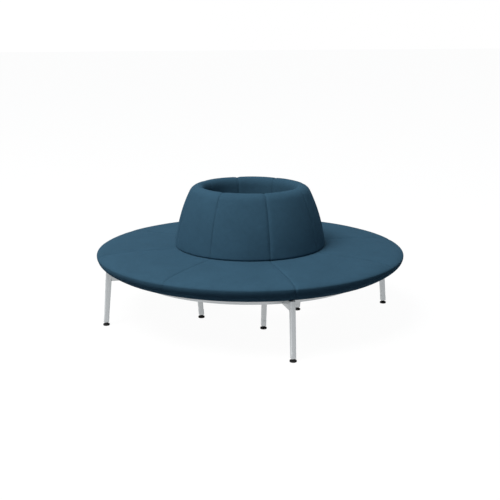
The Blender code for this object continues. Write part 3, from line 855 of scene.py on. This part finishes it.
def cushion_module(rows, padding, seam_depth):
    """One filled module of upholstery, before its small folds."""
    columns = seam_columns()
    bm = wrap(rows, len(columns) - 1)
    settle(bm, rows, columns, lambda column: (
        rows[:, 2] * padding.crown + rows[:, 3] * groove(column, padding, seam_depth)))
    mesh = new_mesh("module", bm)
    fill_out(mesh, rows, blow_up(rows, padding), padding)
    mesh = smooth_once(mesh)
    bm = bmesh.new()
    bm.from_mesh(mesh)
    close_ends(bm, CLOTH_INSET)
    bpy.data.meshes.remove(mesh)
    return sharpen(new_mesh("module", bm), CLOTH_EDGE_ANGLE)


def section_place(points, rows):
    """Nearest stretch of the section for each point, and the share of the way along it."""
    flat = np.stack((np.hypot(points[:, 0], points[:, 1]), points[:, 2]), axis=1)
    start = rows[:, :2]
    along = np.roll(start, -1, axis=0) - start
    span = (along ** 2).sum(axis=1)
    offset = flat[:, None, :] - start[None, :, :]
    share = np.clip((offset * along[None]).sum(axis=2) / span[None], 0.0, 1.0)
    gap = ((offset - share[:, :, None] * along[None]) ** 2).sum(axis=2)
    nearest = gap.argmin(axis=1)
    return nearest, share[np.arange(len(flat)), nearest]


def noise_at(points, scale, seed):
    """Smooth noise at each point, of about -NOISE_SPAN to NOISE_SPAN."""
    shift = Vector((seed * 17.3, seed * 5.1, seed * 9.7))
    return np.array([noise.noise(Vector(point) * scale + shift) for point in points])


def pucker(mesh, rows, padding, seed):
    """Adds the small folds along the seams and the uneven padding, which differ by module."""
    points, normals = points_of(mesh), normals_of(mesh)
    nearest, share = section_place(points, rows)
    after = np.roll(rows[:, 2], -1)
    freedom = rows[nearest, 2] * (1 - share) + after[nearest] * share
    middle, end = seam_distance(points)
    near = np.minimum(middle, end)
    clear_of_end = np.clip((end - STILL_END) / END_FADE, 0.0, 1.0)
    beside_seam = np.exp(-((near - FOLD_PLACE) / FOLD_SPREAD) ** 2)
    fold = beside_seam * noise_at(points, FOLDS_PER_METRE, seed)
    broad = noise_at(points, HOLLOWS_PER_METRE, seed + 0.5) * np.clip(near / HOLLOW_FADE, 0.0, 1.0)
    move = (padding.pucker * fold + padding.unevenness * broad) / NOISE_SPAN
    set_points(mesh, points + normals * (move * freedom * clear_of_end)[:, None])


def lay_cloth(mesh, rows):
    """Gives the mesh a UV map in metres, along the section and across each panel, and seams."""
    points = points_of(mesh)
    spans = np.linalg.norm(np.roll(rows[:, :2], -1, axis=0) - rows[:, :2], axis=1)
    starts = np.concatenate(([0.0], np.cumsum(spans)))
    nearest, share = section_place(points, rows)
    along = starts[nearest] + share * spans[nearest]
    radius = np.hypot(points[:, 0], points[:, 1])
    angle = np.arctan2(points[:, 1], points[:, 0])
    corner = read(mesh.loops, "vertex_index", np.int32)
    first = read(mesh.polygons, "loop_start", np.int32)
    count = read(mesh.polygons, "loop_total", np.int32)
    turn = np.add.reduceat(angle[corner], first) / count
    panel_middle = np.repeat(np.where(turn < SEAM_ANGLE, 0.5, 1.5) * SEAM_ANGLE, count)
    across = radius[corner] * (angle[corner] - panel_middle)
    length = along[corner]
    longest = np.repeat(np.maximum.reduceat(length, first), count)
    wraps = longest - length > starts[-1] / 2
    length = np.where(wraps, length + starts[-1], length)
    layer = mesh.uv_layers.new(name=SHEET_NAME)
    layer.data.foreach_set("uv", np.stack((length, across), axis=1).astype(np.float32).ravel())
    middle, _ = seam_distance(points)
    attribute = mesh.attributes.new("seam", "FLOAT", "POINT")
    attribute.data.foreach_set("value", middle.clip(0.0, SEAM_SPAN).astype(np.float32))


def add_cushions(name, rows, settings, seam_depth):
    """Makes one filled module, and folds, turns and adds it four times."""
    material = material_once("teal_cloth", cloth_material, settings.cloth)
    module = cushion_module(rows, settings.padding, seam_depth)
    for number in range(1, MODULES + 1):
        mesh = module.copy()
        pucker(mesh, rows, settings.padding, number)
        lay_cloth(mesh, rows)
        mesh.transform(Matrix.Rotation((number - 1) * MODULE_ANGLE, 4, "Z"))
        mesh.name = f"{name}_cover_{number}"
        item = add_piece(mesh.name, mesh, material, [f"{name}_{number}"])
    bpy.data.meshes.remove(module)


def cut_ends(bm, inset):
    """Cuts a quarter turn by planes beside its two end planes and closes the ends."""
    for normal in ((0.0, -1.0, 0.0), (-1.0, 0.0, 0.0)):
        geom = bm.verts[:] + bm.edges[:] + bm.faces[:]
        place = Vector(normal) * -inset
        bmesh.ops.bisect_plane(bm, geom=geom, plane_co=place, plane_no=normal, clear_outer=True)
    rims = [edge for edge in bm.edges if edge.is_boundary]
    bmesh.ops.holes_fill(bm, edges=rims, sides=0)
    bmesh.ops.recalc_face_normals(bm, faces=bm.faces)


def rounded_bar(low, high, corner, steps):
    """A bmesh with one upright face, in X and Z, whose corners are rounded."""
    bm = bmesh.new()
    places = ((low[0], low[1]), (high[0], low[1]), (high[0], high[1]), (low[0], high[1]))
    bm.faces.new([bm.verts.new((x, 0.0, z)) for x, z in places])
    bmesh.ops.bevel(bm, geom=bm.verts[:], offset=corner, segments=steps, profile=0.5,
                    affect="VERTICES", material=-1)
    return bm


def sharpen(mesh, angle=HARD_EDGE):
    """Marks the mesh's sharp edges, so that flat faces stay flat under smooth shading."""
    mesh.set_sharp_from_angle(angle=angle)
    return mesh


def sweep(bm, inset):
    """Turns a bar's upright face through a quarter and cuts both ends back by the inset."""
    bmesh.ops.delete(bm, geom=bm.faces[:], context="FACES_ONLY")
    bmesh.ops.spin(bm, geom=bm.verts[:] + bm.edges[:], cent=(0.0, 0.0, 0.0),
                   axis=(0.0, 0.0, 1.0), angle=MODULE_ANGLE, steps=RAIL_STEPS)
    cut_ends(bm, inset)
    return bm


def draw_out(bm, way):
    """Draws a bmesh's one face out along a vector into a closed body."""
    made = bmesh.ops.extrude_face_region(bm, geom=bm.faces[:])["geom"]
    moved = [part for part in made if isinstance(part, bmesh.types.BMVert)]
    bmesh.ops.translate(bm, verts=moved, vec=way)
    bmesh.ops.recalc_face_normals(bm, faces=bm.faces)


def rail_mesh(radius):
    """Curved rail between two beams."""
    bm = rounded_bar((radius - RAIL_WIDTH, FRAME_TOP - RAIL_HEIGHT), (radius, FRAME_TOP),
                     TUBE_CORNER, TUBE_CORNER_STEPS)
    return sharpen(new_mesh("rail", sweep(bm, BEAM_WIDTH / 2 + TOUCH)))


def leg_centre(foot_radius, lean, height):
    """Radius of a leg's centre line at a height; lean is 1 for an outer leg, -1 for an inner."""
    return foot_radius - lean * LEG_LEAN_SHARE * (height - LEG_FOOT)


def beam_end(foot_radius, lean):
    """Radius at which the beam's end meets the face of a leg's head."""
    return leg_centre(foot_radius, lean, BEAM_BOTTOM) - lean * LEG_TOP_DEPTH / 2


def beam_mesh():
    """Radial beam between the heads of its two legs."""
    bm = rounded_bar((-BEAM_WIDTH / 2, BEAM_BOTTOM), (BEAM_WIDTH / 2, FRAME_TOP),
                     TUBE_CORNER, TUBE_CORNER_STEPS)
    inner = beam_end(INNER_FOOT_RADIUS, -1) + TOUCH
    outer = beam_end(OUTER_FOOT_RADIUS, 1) - TOUCH
    bmesh.ops.rotate(bm, verts=bm.verts, cent=(0.0, 0.0, 0.0),
                     matrix=Matrix.Rotation(math.pi / 2, 3, "Z"))
    bmesh.ops.translate(bm, verts=bm.verts, vec=(inner, 0.0, 0.0))
    draw_out(bm, (outer - inner, 0.0, 0.0))
    return sharpen(new_mesh("beam", bm))


def leg_profile(foot_radius, lean):
    """Side outline of a leg: a foot sleeve, a taper, and a head whose far corner is an elbow.

    An outer leg's elbow rises a little, behind the seat's nose.
    """
    def face(height, side, step=0.0):
        taper = min(1.0, (height - LEG_FOOT) / (BEAM_BOTTOM - LEG_FOOT))
        depth = LEG_FOOT_DEPTH + taper * (LEG_TOP_DEPTH - LEG_FOOT_DEPTH)
        return leg_centre(foot_radius, lean, height) + side * lean * (depth / 2 + step), height

    head_face = beam_end(foot_radius, lean)
    sleeve_top = LEG_FOOT + LEG_SLEEVE_HEIGHT
    chamfer_top = sleeve_top + LEG_SLEEVE_STEP
    far_corner = face(FRAME_TOP + max(0, lean) * LEG_HEAD_RISE, 1)
    elbow = fillet(face(chamfer_top, 1), far_corner, (head_face, FRAME_TOP), LEG_ELBOW,
                   ELBOW_STEPS)
    far_side = [face(LEG_FOOT, 1, LEG_SLEEVE_STEP), face(sleeve_top, 1, LEG_SLEEVE_STEP),
                face(chamfer_top, 1), face(BEAM_BOTTOM, 1)]
    near_side = [(head_face, FRAME_TOP), (head_face, BEAM_BOTTOM), face(chamfer_top, -1),
                 face(sleeve_top, -1, LEG_SLEEVE_STEP), face(LEG_FOOT, -1, LEG_SLEEVE_STEP)]
    return far_side + elbow + near_side, head_face


def drill(bm, foot_radius):
    """Makes the bore for the glide's stem in a leg's flat underside."""
    under = min(bm.faces, key=lambda face: face.calc_center_median().z)
    bmesh.ops.inset_individual(bm, faces=[under], thickness=LEG_CORNER / 2)
    rim = [loop.vert for loop in under.loops]
    start = math.atan2(rim[0].co.y, rim[0].co.x - foot_radius)
    for index, vert in enumerate(rim):
        angle = start + index * math.tau / len(rim) * (1 if under.normal.z > 0.0 else -1)
        vert.co.x = foot_radius + (STEM_RADIUS + STEM_CLEARANCE) * math.cos(angle)
        vert.co.y = (STEM_RADIUS + STEM_CLEARANCE) * math.sin(angle)
    made = bmesh.ops.extrude_discrete_faces(bm, faces=[under])["faces"]
    top = NECK_TOP + STEM_LENGTH + BORE_SPARE_DEPTH
    for vert in made[0].verts:
        vert.co.z = top


def leg_mesh(foot_radius, lean):
    """Cast leg with rounded edges and a bore for the glide's stem."""
    profile, head_face = leg_profile(foot_radius, lean)
    bm = bmesh.new()
    bm.faces.new([bm.verts.new((radius, -LEG_WIDTH / 2, height)) for radius, height in profile])
    draw_out(bm, (0.0, LEG_WIDTH, 0.0))
    long_edges = []
    for edge in bm.edges:
        a, b = (vert.co for vert in edge.verts)
        at_head = max(abs(a.x - head_face), abs(b.x - head_face)) < LEG_CORNER / 2
        if abs(a.y - b.y) < LEG_CORNER and not at_head and max(a.z, b.z) > LEG_FOOT + TOUCH:
            long_edges.append(edge)
    bmesh.ops.bevel(bm, geom=long_edges, offset=LEG_CORNER, segments=LEG_CORNER_STEPS, profile=0.5,
                    affect="EDGES", material=-1)
    drill(bm, foot_radius)
    return sharpen(new_mesh("leg", bm))


def glide_mesh():
    """Turned glide: a domed round foot, a neck that stops at the leg and a stem."""
    edge_foot = (GLIDE_RADIUS, GLIDE_THICKNESS - GLIDE_EDGE)
    rim = (GLIDE_RADIUS - GLIDE_EDGE, GLIDE_THICKNESS)
    dome_top = (NECK_RADIUS, GLIDE_THICKNESS + GLIDE_DOME_RISE)
    rounded = fillet(edge_foot, (GLIDE_RADIUS, GLIDE_THICKNESS - GLIDE_EDGE / 3), rim,
                     GLIDE_ROUND, 5)
    outline = [(0.0, 0.0), (GLIDE_RADIUS - GLIDE_CHAMFER, 0.0), (GLIDE_RADIUS, GLIDE_CHAMFER)]
    outline += rounded + curve(rim, dome_top, DOME_SHARES, 5)[1:]
    outline += [(NECK_RADIUS, NECK_TOP), (STEM_RADIUS, NECK_TOP),
                (STEM_RADIUS, NECK_TOP + STEM_LENGTH), (0.0, NECK_TOP + STEM_LENGTH)]
    bm = bmesh.new()
    verts = [bm.verts.new((radius, 0.0, height)) for radius, height in outline]
    edges = [bm.edges.new(pair) for pair in zip(verts, verts[1:])]
    bmesh.ops.spin(bm, geom=verts + edges, cent=(0.0, 0.0, 0.0), axis=(0.0, 0.0, 1.0),
                   angle=math.tau, steps=GLIDE_STEPS, use_merge=True)
    bmesh.ops.remove_doubles(bm, verts=bm.verts, dist=SAME_PLACE)
    bmesh.ops.recalc_face_normals(bm, faces=bm.faces)
    return sharpen(new_mesh("glide", bm), GLIDE_EDGE_ANGLE)


def board_mesh():
    """Quarter of the ring-shaped seat board, edges eased."""
    bm = rounded_bar((LINER_RADIUS, BOARD_BOTTOM), (BOARD_RADIUS, BOARD_TOP), BOARD_CORNER, 1)
    return sharpen(new_mesh("board", sweep(bm, MODULE_GAP / 2)))


def add_four(title, node, mesh, material, radius=0.0, own_body=False):
    """Adds the mesh four times, moved out along X and turned to each frame or module.

    The title and the node's name get the number of the frame or module.
    """
    for number in range(1, MODULES + 1):
        name, stands_for = f"{title}_{number}", f"{node}_{number}"
        copy = mesh.copy()
        copy.name = name
        copy.transform(Matrix.Rotation((number - 1) * MODULE_ANGLE, 4, "Z")
                       @ Matrix.Translation((radius, 0.0, 0.0)))
        add_piece(name, copy, material, [stands_for], stands_for if own_body else "root")


class SOFA_OT_stage(bpy.types.Operator):
    """Adds the floor, the lamp, the world and the camera"""

    bl_idname = "sofa.stage"
    bl_label = "Stage"

    def execute(self, context):
        settings = context.scene.sofa.stage
        context.scene.view_settings.view_transform = "Standard"
        self.add_camera(context, settings)
        self.add_floor(settings)
        self.add_lamp(context, settings)
        self.fill_world(context, settings)
        return {"FINISHED"}

    def add_camera(self, context, settings):
        camera = bpy.data.objects.new("camera", bpy.data.cameras.new("camera"))
        camera.data.lens = settings.lens
        camera.data.sensor_width = SENSOR_WIDTH
        camera.data.clip_end = VIEW_END
        camera.location = settings.camera
        toward = Vector(settings.target) - Vector(settings.camera)
        camera.rotation_euler = toward.to_track_quat("-Z", "Y").to_euler()
        context.scene.collection.objects.link(camera)
        context.scene.camera = camera

    def add_floor(self, settings):
        bm = bmesh.new()
        bmesh.ops.create_grid(bm, x_segments=8, y_segments=8, size=FLOOR_HALF_SIZE)
        paint = Paint(bpy.data.materials.new("pale_floor"))
        _, seen = self.sight(paint)
        color = paint.mix(seen, (*settings.floor, 1.0), SHADOW_WHITE)
        matte = paint.add("ShaderNodeBsdfDiffuse", {}, {"Color": color})
        glow = paint.add("ShaderNodeEmission", {}, {"Strength": FLOOR_GLOW})
        sockets = {0: seen * FLOOR_GLOW_SHARE, 1: matte, 2: glow}
        shader = paint.add("ShaderNodeMixShader", {}, sockets)
        paint.add("ShaderNodeOutputMaterial", {}, {"Surface": shader})
        floor = new_object("floor", new_mesh("floor", bm), paint.owner)

    def sight(self, paint):
        """1 for a ray from the camera, and 1 for that, a reflection or a transmission."""
        camera = paint.add("ShaderNodeLightPath", {}, {}, "Is Camera Ray")
        outputs = camera.socket.node.outputs
        seen = paint.math("MAXIMUM", camera, Value(paint, outputs["Is Glossy Ray"]))
        seen = paint.math("MAXIMUM", seen, Value(paint, outputs["Is Transmission Ray"]))
        return camera, seen

    def add_lamp(self, context, settings):
        lamp = bpy.data.lights.new("key", "AREA")
        lamp.energy = settings.key_power
        lamp.shape = "DISK"
        lamp.size = settings.key_size
        key = bpy.data.objects.new("key", lamp)
        target = Vector(settings.target)
        toward = (Vector(settings.camera) - target).to_2d().to_3d().normalized()
        right = Vector((-toward.y, toward.x, 0.0))
        aside, ahead, upward = settings.key_direction
        direction = aside * right + ahead * toward + Vector((0.0, 0.0, upward))
        key.location = target + direction.normalized() * settings.key_distance
        key.rotation_euler = (-direction).to_track_quat("-Z", "Y").to_euler()
        context.scene.collection.objects.link(key)

    def fill_world(self, context, settings):
        world = bpy.data.worlds.new("studio")
        context.scene.world = world
        paint = Paint(world)
        x, y, upward = paint.split(paint.add("ShaderNodeTexCoord", {}, {}, "Generated"))
        toward = (Vector(settings.camera) - Vector(settings.target)).to_2d().normalized()
        aside = x * -toward.y + y * toward.x
        right, left = (paint.math("MAXIMUM", side, 0.0) for side in (aside, aside * -1.0))
        mirrored = 1.0 - settings.shade * right * right + settings.glint * left * left
        overhead = paint.math("MAXIMUM", upward, 0.0)
        sky = settings.ambient * (HORIZON_LIGHT + ZENITH_LIGHT * overhead)
        camera, seen = self.sight(paint)
        strength = paint.math("MAXIMUM", camera, seen * mirrored + (1.0 - seen) * sky)
        color = paint.mix(seen, (*settings.ambient_color, 1.0), WHITE)
        glow = paint.add("ShaderNodeBackground", {}, {"Color": color, "Strength": strength})
        paint.add("ShaderNodeOutputWorld", {}, {"Surface": glow})


class SOFA_OT_seat_cushions(bpy.types.Operator):
    """Adds the four seat cushions"""

    bl_idname = "sofa.seat_cushions"
    bl_label = "Seat cushions"

    def execute(self, context):
        settings = context.scene.sofa
        add_cushions("seat_cushion", seat_section(), settings,
                     settings.padding.seat_seam_depth)
        return {"FINISHED"}


class SOFA_OT_back_cushions(bpy.types.Operator):
    """Adds the four backrest cushions"""

    bl_idname = "sofa.back_cushions"
    bl_label = "Backrest cushions"

    def execute(self, context):
        settings = context.scene.sofa
        add_cushions("back_cushion", back_section(), settings,
                     settings.padding.back_seam_depth)
        return {"FINISHED"}


class SOFA_OT_boards(bpy.types.Operator):
    """Adds the seat boards and finishes the plywood inside the backrest"""

    bl_idname = "sofa.boards"
    bl_label = "Boards"

    def execute(self, context):
        material = material_once("birch_plywood", plywood_material, context.scene.sofa.frame)
        add_four("seat_board_panel", "seat_board", board_mesh(), material)
        for name, node in frame["nodes"].items():
            if name.startswith(("back_shell", "back_liner", "back_top_rib", "back_rib")):
                node.data.materials.clear()
                node.data.materials.append(material)
        return {"FINISHED"}


class SOFA_OT_rails(bpy.types.Operator):
    """Adds the outer and inner curved rails"""

    bl_idname = "sofa.rails"
    bl_label = "Rails"

    def execute(self, context):
        material = material_once("silver_powder_coat", metal_material, context.scene.sofa.frame)
        for side, radius in (("outer", OUTER_RAIL_RADIUS), ("inner", INNER_RAIL_RADIUS)):
            add_four(f"{side}_curved_rail", f"{side}_rail", rail_mesh(radius), material)
        return {"FINISHED"}


class SOFA_OT_beams(bpy.types.Operator):
    """Adds the four radial beams"""

    bl_idname = "sofa.beams"
    bl_label = "Beams"

    def execute(self, context):
        material = material_once("silver_powder_coat", metal_material, context.scene.sofa.frame)
        add_four("beam", "radial_beam", beam_mesh(), material)
        return {"FINISHED"}


class SOFA_OT_legs(bpy.types.Operator):
    """Adds the four outer and four inner legs"""

    bl_idname = "sofa.legs"
    bl_label = "Legs"

    def execute(self, context):
        material = material_once("silver_powder_coat", metal_material, context.scene.sofa.frame)
        places = (("outer", OUTER_FOOT_RADIUS, 1), ("inner", INNER_FOOT_RADIUS, -1))
        for side, radius, lean in places:
            add_four(f"{side}_cast_leg", f"{side}_leg", leg_mesh(radius, lean), material)
        return {"FINISHED"}


class SOFA_OT_glides(bpy.types.Operator):
    """Adds the eight levelling glides"""

    bl_idname = "sofa.glides"
    bl_label = "Glides"

    def execute(self, context):
        material = material_once("black_nylon", nylon_material, context.scene.sofa.frame)
        mesh = glide_mesh()
        for side, radius in (("outer", OUTER_FOOT_RADIUS), ("inner", INNER_FOOT_RADIUS)):
            add_four(f"{side}_levelling_glide", f"{side}_glide", mesh, material,
                     radius, own_body=True)
        return {"FINISHED"}


class SOFA_PT_panel(bpy.types.Panel):
    """Lists the sofa's settings and pieces"""

    bl_idname = "SOFA_PT_panel"
    bl_label = "Round sofa"
    bl_space_type = "VIEW_3D"
    bl_region_type = "UI"
    bl_category = "Round sofa"

    def draw(self, context):
        layout = self.layout
        settings = context.scene.sofa
        for group in (settings.cloth, settings.padding, settings.frame, settings.stage):
            box = layout.box()
            for name in group.bl_rna.properties.keys():
                if name not in {"rna_type", "name"}:
                    box.prop(group, name)
        for operator in OPERATORS:
            layout.operator(operator.bl_idname)


GROUPS = (ClothSettings, PaddingSettings, FrameSettings, StageSettings, SofaSettings)
OPERATORS = (SOFA_OT_stage, SOFA_OT_seat_cushions, SOFA_OT_back_cushions, SOFA_OT_boards,
             SOFA_OT_rails, SOFA_OT_beams, SOFA_OT_legs, SOFA_OT_glides)


def register():
    for item in (*GROUPS, *OPERATORS, SOFA_PT_panel):
        bpy.utils.register_class(item)
    bpy.types.Scene.sofa = PointerProperty(type=SofaSettings)


def unregister():
    del bpy.types.Scene.sofa
    for item in reversed((*GROUPS, *OPERATORS, SOFA_PT_panel)):
        bpy.utils.unregister_class(item)


def main():
    register()
    bpy.ops.sofa.stage()
    bpy.ops.sofa.seat_cushions()
    bpy.ops.sofa.back_cushions()
    bpy.ops.sofa.boards()
    bpy.ops.sofa.rails()
    bpy.ops.sofa.beams()
    bpy.ops.sofa.legs()
    bpy.ops.sofa.glides()


if __name__ == "__main__":
    main()
